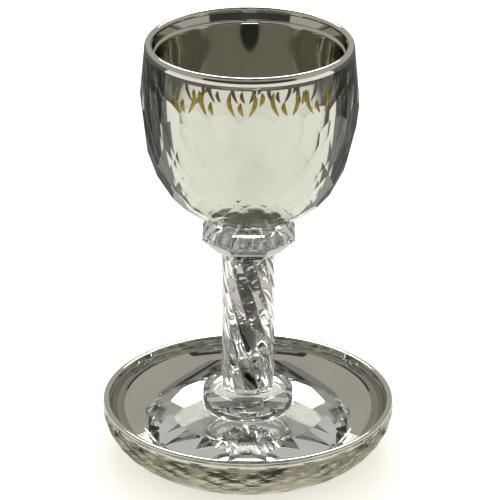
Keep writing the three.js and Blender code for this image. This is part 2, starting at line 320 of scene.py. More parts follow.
def wall_profile(sizes, height):
    """Inside of a vessel from the edge of its floor up to the crease: (radius, height) pairs."""
    top = height - sizes.wall_depth
    profile = [(sizes.floor_radius, sizes.floor_height)]
    for k in range(1, WALL_ROWS + 1):
        turn = math.pi / 2 * k / WALL_ROWS
        out = math.sin(turn) ** (2 / sizes.wall_power)
        up = 1 - math.cos(turn) ** (2 / sizes.wall_power)
        level = sizes.floor_height + (top - sizes.floor_height) * up
        reach = sizes.wall_radius - sizes.wall_draft * (top - level) - sizes.floor_radius
        profile.append((sizes.floor_radius + reach * out, level))
    crease = (sizes.crease_radius, height - sizes.crease_depth)
    return profile + quarter(profile[-1], crease, ROLL_ROWS, ROLL_POWER)


def lip_profile(sizes, height):
    """Lip from its inner edge over the top and down to the plain band."""
    inner = (sizes.rim_radius - sizes.lip_width, height - sizes.lip_inner_drop)
    top = (sizes.rim_radius - sizes.lip_width / 2, height)
    outer = (sizes.rim_radius, height - sizes.lip_drop)
    rise = [inner, *quarter(inner, top, LIP_ROWS, LIP_POWER)]
    fall = [outer, *quarter(outer, top, LIP_ROWS, LIP_POWER)]
    return rise + fall[-2::-1]


def net_radii(flat, height, slope, columns, heights):
    """Radii of the corners of a net of lozenge facets, each lozenge lying in one plane."""
    narrowing = math.cos(math.pi / columns)
    first = (flat - slope * (height - heights[0])) / narrowing
    second = flat - slope * (height - heights[1])
    radii = [first, second]
    for above, side, below in zip(heights, heights[1:], heights[2:]):
        run = (above - below) / (above - side)
        radii.append(radii[-2] + (radii[-1] * narrowing - radii[-2]) * run)
    return radii


def cut_vessel(name, sizes, cut, height, materials, underside):
    """A vessel, plain inside and under its lip, cut outside with rows of lozenge facets."""
    columns, steps, heights = cut
    count = columns * steps
    half = math.pi / columns
    turn = FRONT + sizes.cut_turn
    shell = Shell()

    # inside from the floor up, then over the lip
    wall = [shell.ring(r, h, count, turn - half) for r, h in wall_profile(sizes, height)]
    lip = [shell.ring(r, h, count, turn - half) for r, h in lip_profile(sizes, height)]
    shell.face(tuple(wall[0]), SILVER)
    for lower, upper in zip(wall, wall[1:]):
        shell.band(lower, upper, SILVER)
    shell.band(wall[-1], lip[0], SILVER)
    for first, second in zip(lip, lip[1:]):
        shell.band(first, second, SILVER)
    shell.crease(wall[-1])
    shell.crease(lip[0])
    shell.crease(lip[-1])

    # plain band down to the scalloped edge where the first facets begin
    band_top = height - sizes.lip_drop
    flat = (sizes.rim_radius + sizes.flare * (band_top - sizes.scallop)) * math.cos(half)
    band_at_zero = sizes.rim_radius + sizes.flare * band_top
    facet_at_zero = flat - sizes.cut_slope * sizes.scallop
    edge = []
    for i in range(count):
        across = math.cos((i % steps) / steps * 2 * half - half)
        low = (band_at_zero * across - facet_at_zero) / (sizes.cut_slope + sizes.flare * across)
        radius = sizes.rim_radius + sizes.flare * (band_top - low)
        edge.append(shell.point(radius, turn - half + TURN * i / count, low))
    shell.band(lip[-1], edge, GLASS)

    # corners of the net, each level half a column round from the last
    radii = net_radii(flat, sizes.scallop, sizes.cut_slope, columns, heights)
    corners = []
    for k, (radius, level) in enumerate(zip(radii, heights)):
        corners.append(shell.ring(radius, level, columns, turn - half * (1 - k % 2)))
    for i in range(columns):
        after = (i + 1) % columns
        arc = [edge[(i * steps + s) % count] for s in range(steps + 1)]
        shell.face((corners[0][i], corners[1][i], corners[0][after], *reversed(arc)), GLASS)
    for k in range(len(heights) - 2):
        shift = 0 if k % 2 else columns - 1
        for i in range(columns):
            left = corners[k + 1][(i + shift) % columns]
            right = corners[k + 1][(i + shift + 1) % columns]
            shell.face((corners[k][i], left, corners[k + 2][i], right), GLASS)

    # half lozenges at the foot of the net, and the flat underside
    low, base = corners[-2], corners[-1]
    shift = 0 if len(heights) % 2 else columns - 1
    for i in range(columns):
        left = base[(i + shift) % columns]
        right = base[(i + shift + 1) % columns]
        shell.face((low[i], left, right), GLASS)
    shell.face(tuple(reversed(base)), underside)
    return shell.build(name, materials)


# ---------------------------------------------------------------- foot and knops


def polygon_stone(levels, sides, turn, under=0, over=0):
    """A stone ground flat all round, from (corner radius, height) pairs.

    under and over are the radii of the discs of its two ends that take cement."""
    shell = Shell()
    rings = [shell.ring(radius, height, sides, turn) for radius, height in levels]
    close_end(shell, rings[0], levels[0][1], turn, under, -1)
    for lower, upper in zip(rings, rings[1:]):
        shell.band(upper, lower, GLASS, smooth=False)
    close_end(shell, rings[-1], levels[-1][1], turn, over, 1)
    return shell


def close_end(shell, rim, height, turn, cemented, way):
    """Closes a stone's end, with a disc for the cement where its radius isn't 0."""
    if not cemented:
        shell.face(tuple(rim)[::way], GLASS)
        return
    disc = shell.ring(cemented, height, len(rim) * CEMENT_STEPS, turn)
    for i, corner in enumerate(rim):
        first = i * CEMENT_STEPS
        arc = [disc[(first + s) % len(disc)] for s in range(CEMENT_STEPS, -1, -1)]
        shell.face((corner, rim[(i + 1) % len(rim)], *arc)[::way], GLASS)
    shell.face(tuple(disc)[::way], CEMENT)


def soften_edges(piece, width):
    """Gives the edges between facets the narrow polished bevel that catches the light."""
    shape = bmesh.new()
    shape.from_mesh(piece.data)
    bmesh.ops.remove_doubles(shape, verts=shape.verts, dist=0.001 * MM)
    crisp = [e for e in shape.edges if e.is_manifold and e.calc_face_angle(0) > LEAST_EDGE_TURN]
    bmesh.ops.bevel(
        shape, geom=crisp, offset=width / 2, offset_type="WIDTH", segments=2, profile=0.5,
        affect="EDGES", clamp_overlap=True,
    )
    shape.to_mesh(piece.data)
    shape.free()


def flats_to_corners(levels, sides):
    return [(flat / math.cos(math.pi / sides), height) for flat, height in levels]


def make_foot(sizes, materials):
    levels = [
        (sizes.foot_base, FOOT_BOX[0].z),
        (foot_girdle_radius(), sizes.foot_girdle_low),
        (foot_girdle_radius(), sizes.foot_girdle_high),
        (sizes.foot_table, FOOT_BOX[1].z),
    ]
    stone = polygon_stone(levels, FOOT_SIDES, math.pi / FOOT_SIDES, over=sizes.lower_base)
    foot = stone.build("crystal_foot", materials)
    soften_edges(foot, sizes.edge)
    return foot


def foot_girdle_radius():
    """The foot's widest corners stand half a facet round from the axes."""
    return FOOT_BOX[1].x / math.cos(math.pi / FOOT_SIDES)


def make_upper_knop(sizes, stem_radius, bowl_base, materials):
    levels = [
        (sizes.upper_base, UPPER_KNOP_BOX[0].z),
        (sizes.upper_girdle, sizes.upper_girdle_low),
        (sizes.upper_girdle, sizes.upper_girdle_high),
        (sizes.upper_chamfer, sizes.upper_chamfer_at),
        (sizes.upper_table, UPPER_KNOP_BOX[1].z),
    ]
    corners = flats_to_corners(levels, KNOP_SIDES)
    turn = math.pi / KNOP_SIDES
    stone = polygon_stone(corners, KNOP_SIDES, turn, under=stem_radius, over=bowl_base)
    knop = stone.build("crystal_upper_knop", materials)
    soften_edges(knop, sizes.edge)
    return knop


def make_lower_knop(sizes, stem_radius, materials):
    """A turned button whose crown and skirt are ground to eight flats."""
    bottom, top = LOWER_KNOP_BOX[0].z, LOWER_KNOP_BOX[1].z
    shell = Shell()
    profile = []
    for k in range(TURNED_ROWS + 1):
        turn = math.pi / 2 * k / TURNED_ROWS
        radius = sizes.lower_base + (sizes.lower_radius - sizes.lower_base) * math.sin(turn)
        profile.append((radius, bottom + (sizes.lower_girdle - bottom) * (1 - math.cos(turn))))
    profile.append((sizes.lower_radius, top))
    rings = [shell.ring(r, h, TURNED_SEGMENTS, 0) for r, h in profile]
    cemented = shell.ring(stem_radius, top, TURNED_SEGMENTS, 0)
    shell.face(tuple(reversed(rings[0])), CEMENT)
    for lower, upper in zip(rings, rings[1:]):
        shell.band(upper, lower, GLASS)
    shell.band(cemented, rings[-1], GLASS, smooth=False)
    shell.face(tuple(cemented), CEMENT)
    knop = shell.build("crystal_lower_knop", materials)

    shape = bmesh.new()
    shape.from_mesh(knop.data)
    skirt_lean = (sizes.lower_radius - sizes.lower_flat) / (sizes.lower_shoulder - sizes.lower_girdle)
    crown_lean = (sizes.lower_flat - sizes.lower_table) / (top - sizes.lower_shoulder)
    for lean in (skirt_lean, crown_lean):
        for side in range(KNOP_SIDES):
            azimuth = TURN * side / KNOP_SIDES
            out = Vector((math.cos(azimuth), math.sin(azimuth), 0))
            grind(
                shape,
                out * sizes.lower_flat + Vector((0, 0, sizes.lower_shoulder)),
                (out + Vector((0, 0, lean))).normalized(),
            )
    shape.to_mesh(knop.data)
    shape.free()
    soften_edges(knop, sizes.edge)
    return knop


def grind(shape, point, normal):
    """Cuts a flat across a solid and closes it."""
    everything = [*shape.verts, *shape.edges, *shape.faces]
    result = bmesh.ops.bisect_plane(
        shape, geom=everything, dist=1e-7, plane_co=point, plane_no=normal, clear_outer=True
    )
    rim = [e for e in result["geom_cut"] if isinstance(e, bmesh.types.BMEdge)]
    if rim:
        made = bmesh.ops.contextual_create(shape, geom=rim)
        for face in made["faces"]:
            face.smooth = False
            if face.normal.dot(normal) < 0:
                face.normal_flip()


# ---------------------------------------------------------------- geometry node helpers


class NodeTree:
    """A Geometry Nodes tree being built, and the modifier that runs it."""

    def __init__(self, name):
        self.tree = bpy.data.node_groups.new(name, "GeometryNodeTree")
        self.tree.interface.new_socket("Geometry", in_out="OUTPUT", socket_type="NodeSocketGeometry")
        self.source = self.tree.nodes.new("NodeGroupInput")
        self.values = {}

    def input(self, name, value, kind="NodeSocketFloat"):
        self.tree.interface.new_socket(name, in_out="INPUT", socket_type=kind)
        self.values[name] = value
        return self.source.outputs[name]

    def node(self, kind, settings=None, **inputs):
        made = self.tree.nodes.new(kind)
        for key, value in (settings or {}).items():
            setattr(made, key, value)
        for key, value in inputs.items():
            self.put(made.inputs[key.replace("_", " ")], value)
        return made

    def put(self, socket, value):
        if isinstance(value, bpy.types.NodeSocket):
            self.tree.links.new(value, socket)
        else:
            socket.default_value = value

    def math(self, operation, *operands):
        made = self.tree.nodes.new("ShaderNodeMath")
        made.operation = operation
        for socket, value in zip(made.inputs, operands):
            self.put(socket, value)
        return made.outputs[0]

    def add(self, *terms):
        total = terms[0]
        for term in terms[1:]:
            total = self.math("ADD", total, term)
        return total

    def times(self, *factors):
        product = factors[0]
        for factor in factors[1:]:
            product = self.math("MULTIPLY", product, factor)
        return product

    def less(self, first, second):
        return self.math("SUBTRACT", first, second)

    def random(self, seed, low=0.0, high=1.0):
        made = self.node("FunctionNodeRandomValue", Seed=seed)
        made.data_type = "FLOAT"
        floats = [s for s in made.inputs if s.name in ("Min", "Max") and s.type == "VALUE"]
        self.put(floats[0], low)
        self.put(floats[1], high)
        return [s for s in made.outputs if s.type == "VALUE"][0]

    def vector(self, x, y, z):
        made = self.tree.nodes.new("ShaderNodeCombineXYZ")
        for socket, value in zip(made.inputs, (x, y, z)):
            self.put(socket, value)
        return made.outputs[0]

    def polar(self, radius, azimuth, height):
        return self.vector(
            self.times(radius, self.math("COSINE", azimuth)),
            self.times(radius, self.math("SINE", azimuth)),
            height,
        )

    def finish(self, geometry, material, name):
        """Ends the tree, runs it and returns its result as a piece with a plain mesh."""
        realized = self.node("GeometryNodeRealizeInstances", Geometry=geometry)
        painted = self.node("GeometryNodeSetMaterial", Geometry=realized.outputs[0])
        painted.inputs["Material"].default_value = material
        sink = self.tree.nodes.new("NodeGroupOutput")
        self.tree.links.new(painted.outputs[0], sink.inputs["Geometry"])
        piece = place(name, bpy.data.meshes.new(name))
        modifier = piece.modifiers.new(self.tree.name, "NODES")
        modifier.node_group = self.tree
        for item in self.tree.interface.items_tree:
            if item.item_type == "SOCKET" and item.in_out == "INPUT":
                modifier[item.identifier] = self.values[item.name]
        bpy.context.view_layer.update()
        shown = piece.evaluated_get(bpy.context.evaluated_depsgraph_get())
        mesh = bpy.data.meshes.new_from_object(shown)
        piece.modifiers.clear()
        piece.data = mesh
        mesh.name = name
        return piece


# ---------------------------------------------------------------- stem


def make_tube(sizes, materials):
    """Twisted, ribbed tube of clear glass with a closed bore."""
    nodes = NodeTree("ribbed_tube")
    radius = nodes.input("Radius", sizes.radius)
    depth = nodes.input("Rib depth", sizes.rib_depth)
    ribs = nodes.input("Ribs", float(sizes.ribs))
    twist = nodes.input("Twist", sizes.twist)
    bore = nodes.input("Bore", sizes.bore)
    wall = nodes.input("End wall", sizes.end_wall)
    bottom = nodes.input("Bottom", STEM_BOX[0].z)
    top = nodes.input("Top", STEM_BOX[1].z)

    # outer skin: a plain cylinder whose points are moved in and round
    place_of = nodes.node("GeometryNodeInputPosition").outputs[0]
    axes = nodes.node("ShaderNodeSeparateXYZ", Vector=place_of)
    azimuth = nodes.math("ARCTAN2", axes.outputs["Y"], axes.outputs["X"])
    tall = nodes.less(top, bottom)
    share = nodes.math("ADD", axes.outputs["Z"], 0.5)
    wave = nodes.math("ABSOLUTE", nodes.math("SINE", nodes.times(azimuth, ribs, 0.5)))
    groove = nodes.times(depth, nodes.less(1.0, nodes.math("POWER", wave, sizes.rib_power)))
    spread = nodes.math("SQRT", nodes.add(
        nodes.times(axes.outputs["X"], axes.outputs["X"]),
        nodes.times(axes.outputs["Y"], axes.outputs["Y"]),
    ))
    skin = nodes.node(
        "GeometryNodeMeshCylinder", {"fill_type": "TRIANGLE_FAN"},
        Vertices=TUBE_SEGMENTS, Side_Segments=TUBE_ROWS, Radius=1.0, Depth=1.0,
    )
    twisted = nodes.node(
        "GeometryNodeSetPosition", Geometry=skin.outputs["Mesh"],
        Position=nodes.polar(
            nodes.times(spread, nodes.less(radius, groove)),
            nodes.add(azimuth, FRONT, nodes.times(twist, share)),
            nodes.add(bottom, nodes.times(tall, share)),
        ),
    )

    # bore: its faces look into the hollow
    core = nodes.node(
        "GeometryNodeMeshCylinder", {"fill_type": "NGON"},
        Vertices=BORE_SEGMENTS, Side_Segments=1, Radius=1.0, Depth=1.0,
    )
    sized = nodes.node(
        "GeometryNodeSetPosition", Geometry=core.outputs["Mesh"],
        Position=nodes.vector(
            nodes.times(axes.outputs["X"], bore),
            nodes.times(axes.outputs["Y"], bore),
            nodes.add(bottom, wall, nodes.times(nodes.less(tall, nodes.times(wall, 2.0)), share)),
        ),
    )
    hollow = nodes.node("GeometryNodeFlipFaces", Mesh=sized.outputs[0])
    both = nodes.node("GeometryNodeJoinGeometry")
    nodes.tree.links.new(twisted.outputs[0], both.inputs[0])
    nodes.tree.links.new(hollow.outputs[0], both.inputs[0])
    tube = nodes.finish(both.outputs[0], materials[GLASS], "twisted_tube")
    cement_ends(tube.data, materials)
    return tube


def cement_ends(mesh, materials):
    """Smooth sides and flat ends, the outer two of which take the cement."""
    mesh.materials.append(materials[CEMENT])
    for face in mesh.polygons:
        face.use_smooth = abs(face.normal.z) < 0.9
        to_end = min(face.center.z - STEM_BOX[0].z, STEM_BOX[1].z - face.center.z)
        if not face.use_smooth and to_end < END_SLACK:
            face.material_index = CEMENT


# Most that a chip leans to either side, in radians
CHIP_LEAN = 0.9


def make_chips(sizes, material):
    """Loose chips that fill the bore."""
    margin = 1.2 * sizes.chip_size
    nodes = NodeTree("chips_in_the_bore")
    count = nodes.input("Count", sizes.chips, "NodeSocketInt")
    reach = nodes.input("Reach", sizes.bore - 1.25 * sizes.chip_size)
    low = nodes.input("Low", STEM_BOX[0].z + sizes.end_wall + margin)
    high = nodes.input("High", STEM_BOX[1].z - sizes.end_wall - margin)
    size = nodes.input("Size", sizes.chip_size)
    where = nodes.polar(
        nodes.times(reach, nodes.math("SQRT", nodes.random(3))),
        nodes.random(5, 0.0, TURN),
        nodes.add(low, nodes.times(nodes.less(high, low), nodes.random(7))),
    )
    points = nodes.node("GeometryNodePoints", Count=count, Position=where)
    shades = nodes.node(
        "GeometryNodeStoreNamedAttribute", {"data_type": "FLOAT", "domain": "POINT"},
        Geometry=points.outputs[0], Name="shade", Value=nodes.random(11),
    )
    chip = nodes.node(
        "GeometryNodeMeshCone", {"fill_type": "NGON"},
        Vertices=5, Side_Segments=1, Radius_Top=0.72, Radius_Bottom=1.0, Depth=0.75,
    )
    tilt = nodes.vector(
        nodes.random(13, -CHIP_LEAN, CHIP_LEAN),
        nodes.random(17, -CHIP_LEAN, CHIP_LEAN),
        nodes.random(19, 0.0, TURN),
    )
    scale = nodes.vector(
        nodes.times(size, nodes.random(23, 0.6, 1.2)),
        nodes.times(size, nodes.random(29, 0.5, 1.0)),
        nodes.times(size, nodes.random(31, 0.4, 1.2)),
    )
    filled = nodes.node(
        "GeometryNodeInstanceOnPoints", Points=shades.outputs[0], Instance=chip.outputs["Mesh"],
        Rotation=tilt, Scale=scale,
    )
    return nodes.finish(filled.outputs[0], material, "stem_chips")


# ---------------------------------------------------------------- gold strokes

# Each group of strokes under the lip: where it starts and ends round the band, in degrees from
# the front, and how many strokes it has
STROKE_GROUPS = [(-42.5, -17.5, 6), (-11.0, 8.3, 4), (11.8, 46.0, 7)]
STROKE_ROWS = 10

# Where the row has fallen by its full droop, round from the front
HALF_ROW = math.radians(43)

# Shares of a stroke's own height: a short stroke's, the lean, the bow, and a short stroke's rise
SHORT_SHARE = 0.55
LEAN_SHARE = 0.18
BOW_SHARE = 0.14
RISE_SHARE = 0.2


def stroke_outline(tall, wide, lean, bow):
    """Leaf-shaped stroke as (across, up) pairs, leaning and bowed to one side."""
    left, right = [], []
    for k in range(STROKE_ROWS + 1):
        share = k / STROKE_ROWS
        up = (share - 0.5) * tall
        swell = math.sin(math.pi * share) ** 0.6
        middle = lean * (share - 0.5) + bow * math.sin(math.pi * share)
        left.append((middle - wide / 2 * swell, up))
        right.append((middle + wide / 2 * swell, up))
    return left + right[-2:0:-1]


def make_marks(sizes, bowl, material):
    """Three groups of plain leaning strokes in gold, laid on the band."""
    shell = Shell()
    height = BOWL_BOX[1].z
    band_top = height - bowl.lip_drop

    def on_band(across, up, azimuth, lift):
        turned = azimuth + across / bowl.rim_radius
        level = sizes.height + up - sizes.droop * (turned / HALF_ROW) ** 2
        radius = bowl.rim_radius + bowl.flare * (band_top - level) + lift
        return shell.point(radius, FRONT + turned, level)

    for start, end, strokes in STROKE_GROUPS:
        for k in range(strokes):
            azimuth = math.radians(start + (end - start) * (k + 0.5) / strokes)
            short = k % 2
            side = 1 if (k // 2) % 2 else -1
            tall = sizes.tall * (SHORT_SHARE if short else 1.0)
            lean, bow = side * LEAN_SHARE * tall, side * BOW_SHARE * tall
            outline = stroke_outline(tall, sizes.wide, lean, bow)
            rise = side * RISE_SHARE * sizes.tall * short
            back = [on_band(x, y + rise, azimuth, sizes.gap) for x, y in outline]
            front = [on_band(x, y + rise, azimuth, sizes.gap + sizes.thick) for x, y in outline]
            rows = len(outline) // 2
            for j in range(rows):
                nxt, opp, opp_nxt = j + 1, -j % len(outline), -(j + 1) % len(outline)
                quad = list(dict.fromkeys((j, opp, opp_nxt, nxt)))
                shell.face(tuple(front[i] for i in reversed(quad)), 0, True)
                shell.face(tuple(back[i] for i in quad), 0, True)
            shell.band(back, front, 0, smooth=False)
    marks = shell.build("gold_strokes", [material])
    point_outwards(marks.data)
    return marks


def point_outwards(mesh):
    shape = bmesh.new()
    shape.from_mesh(mesh)
    bmesh.ops.recalc_face_normals(shape, faces=shape.faces)
    shape.to_mesh(mesh)
    shape.free()


# ---------------------------------------------------------------- finishes


class Finish:
    """A material being built on its Principled shader."""

    def __init__(self, name):
        self.material = bpy.data.materials.new(name)
        self.material.use_nodes = True
        self.nodes = self.material.node_tree.nodes
        self.links = self.material.node_tree.links
        self.shader = next(n for n in self.nodes if n.type == "BSDF_PRINCIPLED")
        self.where = self.nodes.new("ShaderNodeTexCoord").outputs["Object"]

    def set(self, **values):
        for key, value in values.items():
            self.shader.inputs[key.replace("_", " ")].default_value = value
        return self

    def noise(self, scale, detail=3.0, roughness=0.5, stretch=(1, 1, 1)):
        spread = self.nodes.new("ShaderNodeMapping")
        spread.inputs["Scale"].default_value = stretch
        self.links.new(self.where, spread.inputs["Vector"])
        made = self.nodes.new("ShaderNodeTexNoise")
        made.inputs["Scale"].default_value = scale
        made.inputs["Detail"].default_value = detail
        made.inputs["Roughness"].default_value = roughness
        self.links.new(spread.outputs[0], made.inputs["Vector"])
        return made.outputs["Fac"]

    def spread(self, value, low, high, first=0.0, last=1.0):
        made = self.nodes.new("ShaderNodeMapRange")
        for key, number in (("From Min", first), ("From Max", last), ("To Min", low), ("To Max", high)):
            made.inputs[key].default_value = number
        self.links.new(value, made.inputs["Value"])
        return made.outputs["Result"]

    def blend(self, value, first, second):
        made = self.nodes.new("ShaderNodeMix")
        made.data_type = "RGBA"
        colours = [s for s in made.inputs if s.type == "RGBA"]
        colours[0].default_value = (*first, 1)
        colours[1].default_value = (*second, 1)
        self.links.new(value, made.inputs["Factor"])
        return next(s for s in made.outputs if s.type == "RGBA")

    def link(self, value, name):
        self.links.new(value, self.shader.inputs[name])
        return self

    def bump(self, value, strength, distance):
        made = self.nodes.new("ShaderNodeBump")
        made.inputs["Strength"].default_value = strength
        made.inputs["Distance"].default_value = distance
        self.links.new(value, made.inputs["Height"])
        return self.link(made.outputs["Normal"], "Normal")


# Depth of the faint ripple that polishing leaves on the cut vessels, the stones and the tube
CUT_RIPPLE = 0.02 * MM
STONE_RIPPLE = 0.004 * MM
TUBE_RIPPLE = 0.03 * MM
CRYSTAL_IOR = 1.52


def crystal_finish(name, tint, ripple, alpha=1.0):
    """Clear polished crystal whose facets are very slightly wavy from hand polishing."""
    finish = Finish(name)
    finish.set(Base_Color=(*tint, 1), Metallic=0.0, Roughness=0.0, Alpha=alpha)
    finish.set(IOR=CRYSTAL_IOR, Transmission_Weight=1.0)
    finish.bump(finish.noise(60, 2.0, 0.4), 1.0, ripple)
    return finish.material


def vessel_finishes(name, colours):
    """Crystal outside, cement under and silver inside."""
    return [
        crystal_finish(name, colours.crystal, CUT_RIPPLE),
        cement_finish(colours),
        silver_finish(colours.silver, colours.silver_worn),
    ]


def cement_finish(colours):
    """Cement as clear as the glass on both sides of it, so that the joint doesn't show."""
    return crystal_finish("clear_cement", colours.crystal, STONE_RIPPLE, alpha=0.0)


def silver_finish(tint, worn):
    """Silver lining, bright with faint cloudy patches and fine wiping marks."""
    finish = Finish("silver_lining")
    finish.set(Metallic=1.0)
    cloud = finish.spread(finish.noise(28, 4.0, 0.6), 0.0, 1.0, 0.45, 0.75)
    finish.link(finish.blend(cloud, tint, worn), "Base Color")
    finish.link(finish.spread(finish.noise(90, 3.0, 0.6), 0.03, 0.085, 0.3, 0.8), "Roughness")
    return finish.material


def chip_finish(dark, pale):
    """Dark silvery chips, each with its own shade."""
    finish = Finish("silvery_chips")
    finish.set(Metallic=0.9, Roughness=0.22)
    shade = finish.nodes.new("ShaderNodeAttribute")
    shade.attribute_name = "shade"
    paleness = finish.spread(shade.outputs["Fac"], 0.0, 1.0, 0.55, 0.95)
    finish.link(finish.blend(paleness, dark, pale), "Base Color")
    finish.bump(finish.noise(900, 2.0), 0.6, 0.2 * MM)
    return finish.material


def gold_finish(tint):
    """Fired gold, slightly matt and uneven."""
    finish = Finish("fired_gold")
    finish.set(Metallic=0.75)
    patchy = finish.noise(500, 3.0)
    deep = tuple(0.6 * part for part in tint)
    finish.link(finish.blend(finish.spread(patchy, 0.0, 1.0, 0.35, 0.7), tint, deep), "Base Color")
    finish.link(finish.spread(patchy, 0.3, 0.55), "Roughness")
    return finish.material


def floor_finish(tint):
    """Pale matt paper."""
    finish = Finish("pale_floor")
    finish.set(Roughness=0.9, Specular_IOR_Level=0.1)
    finish.set(Emission_Color=(1, 0.975, 0.88, 1), Emission_Strength=0.64)
    soft = tuple(0.98 * part for part in tint)
    finish.link(finish.blend(finish.noise(2.0, 2.0), tint, soft), "Base Color")
    return finish.material


def light_card_finish(name, tint, strength):
    finish = Finish(name)
    finish.set(Base_Color=(0, 0, 0, 1), Emission_Color=(*tint, 1), Emission_Strength=strength)
    return finish.material


def painted_shade_card_finish(name, dark, pale, scale):
    """Card that glows in irregular dark and pale patches: painted shadow and painted light for what
    reflects it.
    """
    finish = Finish(name)
    finish.set(Base_Color=(0, 0, 0, 1), Emission_Strength=1.0)
    painted_shade_patches = finish.spread(finish.noise(scale, 2.0, 0.5), 0.0, 1.0, 0.45, 0.55)
    finish.link(finish.blend(painted_shade_patches, dark, pale), "Emission Color")
    return finish.material


# ---------------------------------------------------------------- studio


def hide_from_camera(card):
    """Leaves a card of the set to reflections and to what is seen through glass."""
    card.visible_camera = False
    card.visible_diffuse = False
    card.visible_shadow = False


def make_card(name, corners, material):
    """A flat card that only reflections and what is seen through glass pick up."""
    mesh = bpy.data.meshes.new(name)
    mesh.from_pydata(corners, [], [tuple(range(len(corners)))])
    mesh.materials.append(material)
    hide_from_camera(place(name, mesh))


# Sheets that lie on the floor: name, left, right, near and far edge, in metres
DARK_SHEETS = [
    ("dark_sheet_behind", -2, 2, 0.2, 2),
    ("dark_sheet_left", -2, -0.06, 0.09, 0.2),
    ("dark_sheet_right", 0.06, 2, 0.09, 0.2),
]
SHEET_LEVEL = 0.5 * MM

# Inner and outer radius of the sheet of painted shadow and light round the saucer
PAINTED_SHADOW_RING = (0.04, 0.07)
RING_SEGMENTS = 96

# Cloth over the set, and the dark bars that hang just below it: left and right edge of each
CEILING_LEVEL = 1.25
CEILING_GAP = 0.02
CEILING_SPAN = (-0.9, 0.9)
CEILING_REACH = (-1.2, 0.8)
CEILING_BARS = [(-0.62, -0.5), (-0.26, -0.14), (0.04, 0.18), (0.38, 0.46), (0.6, 0.7)]

# Dark wall behind the camera: half width, distance and height
WALL_HALF = 1.7
WALL_AT = -1.4
WALL_TALL = 0.7

FLOOR_REACH = 3.0

TENT_RADIUS = 2.2
TENT_SIDES = 48
TENT_LEVELS = 12
TENT_FOOT = -0.01


def level_card(left, right, near, far, height):
    return [(left, near, height), (right, near, height), (right, far, height), (left, far, height)]


def make_painted_shadow_ring(material):
    """Sheet of painted shadow and light on the floor close round the saucer, glowing dark and pale
    patches seen only in reflections.
    """
    shell = Shell()
    inner, outer = (shell.ring(radius, SHEET_LEVEL, RING_SEGMENTS, 0) for radius in PAINTED_SHADOW_RING)
    shell.band(inner, outer, 0, smooth=False)
    hide_from_camera(shell.build("painted_shadow_sheet", [material]))


def make_floor(material):
    mesh = bpy.data.meshes.new("floor")
    corners = level_card(-FLOOR_REACH, FLOOR_REACH, -FLOOR_REACH, FLOOR_REACH, 0)
    mesh.from_pydata(corners, [], [(0, 1, 2, 3)])
    mesh.materials.append(material)
    floor = place("floor", mesh)


def make_room(material):
    """Grey tent round the set, seen only in reflections and through glass."""
    shell = Shell()
    rings = []
    for k in range(TENT_LEVELS):
        lift = math.pi / 2 * k / TENT_LEVELS
        reach, rise = TENT_RADIUS * math.cos(lift), TENT_RADIUS * math.sin(lift)
        rings.append(shell.ring(reach, TENT_FOOT + rise, TENT_SIDES, 0))
    peak = shell.point(0, 0, TENT_FOOT + TENT_RADIUS)
    for lower, upper in zip(rings, rings[1:]):
        shell.band(lower, upper, 0)
    for i in range(TENT_SIDES):
        shell.face((rings[-1][(i + 1) % TENT_SIDES], rings[-1][i], peak), 0, True)
    hide_from_camera(shell.build("grey_tent", [material]))


def make_softbox(name, place_at, aim, size, power):
    light = bpy.data.lights.new(name, "AREA")
    light.shape = "RECTANGLE"
    light.size, light.size_y = size
    light.energy = power
    lamp = bpy.data.objects.new(name, light)
    bpy.context.scene.collection.objects.link(lamp)
    lamp.location = place_at
    lamp.rotation_mode = "QUATERNION"
    lamp.rotation_quaternion = (Vector(aim) - Vector(place_at)).to_track_quat("-Z", "Y")


# Camera: place in metres, how far it looks down and how far it is rolled, and its lens
CAMERA_AT = (0, -1.070, 0.5604)
CAMERA_PITCH = math.radians(24.19)
CAMERA_ROLL = math.radians(0.28)
CAMERA_LENS = 231.2
CAMERA_SHIFT = 0.0027


def make_camera():
    data = bpy.data.cameras.new("camera")
    data.sensor_width = 36
    data.lens = CAMERA_LENS
    data.shift_x = CAMERA_SHIFT
    data.clip_start, data.clip_end = 0.05, 20
    camera = bpy.data.objects.new("camera", data)
    bpy.context.scene.collection.objects.link(camera)
    tilt = Matrix.Rotation(math.pi / 2 - CAMERA_PITCH, 4, "X")
    roll = Matrix.Rotation(CAMERA_ROLL, 4, "Z")
    camera.matrix_world = Matrix.Translation(CAMERA_AT) @ tilt @ roll
    bpy.context.scene.camera = camera


# A ray may run many times between the flat faces of the foot before it leaves the crystal
GLASS_BOUNCES = 12
WORLD_STRENGTH = 0.95


def make_world():
    world = bpy.data.worlds.new("studio")
    world.use_nodes = True
    background = next(n for n in world.node_tree.nodes if n.type == "BACKGROUND")
    background.inputs["Color"].default_value = (1, 1, 1, 1)
    background.inputs["Strength"].default_value = WORLD_STRENGTH
    bpy.context.scene.world = world
    bpy.context.scene.cycles.glossy_bounces = GLASS_BOUNCES
    bpy.context.scene.view_settings.view_transform = "Standard"


# ---------------------------------------------------------------- operators and panel


class Maker(bpy.types.Operator):
    """Common part of the operators below."""

    bl_options = {"REGISTER", "UNDO"}

    @classmethod
    def poll(cls, context):
        return context.scene is not None


class CUP_OT_bowl(Maker):
    """Makes the silvered bowl of cut crystal"""

    bl_idname = "kiddush_cup.bowl"
    bl_label = "Bowl"

    def execute(self, context):
        scene = context.scene
        finishes = vessel_finishes("bowl_crystal", scene.cup_colours)
        bowl = cut_vessel(
            "silvered_bowl", scene.cup_bowl, BOWL_CUT, BOWL_BOX[1].z, finishes, underside=CEMENT
        )
        finish_piece(bowl, "silvered_crystal", "bowl")
        return {"FINISHED"}


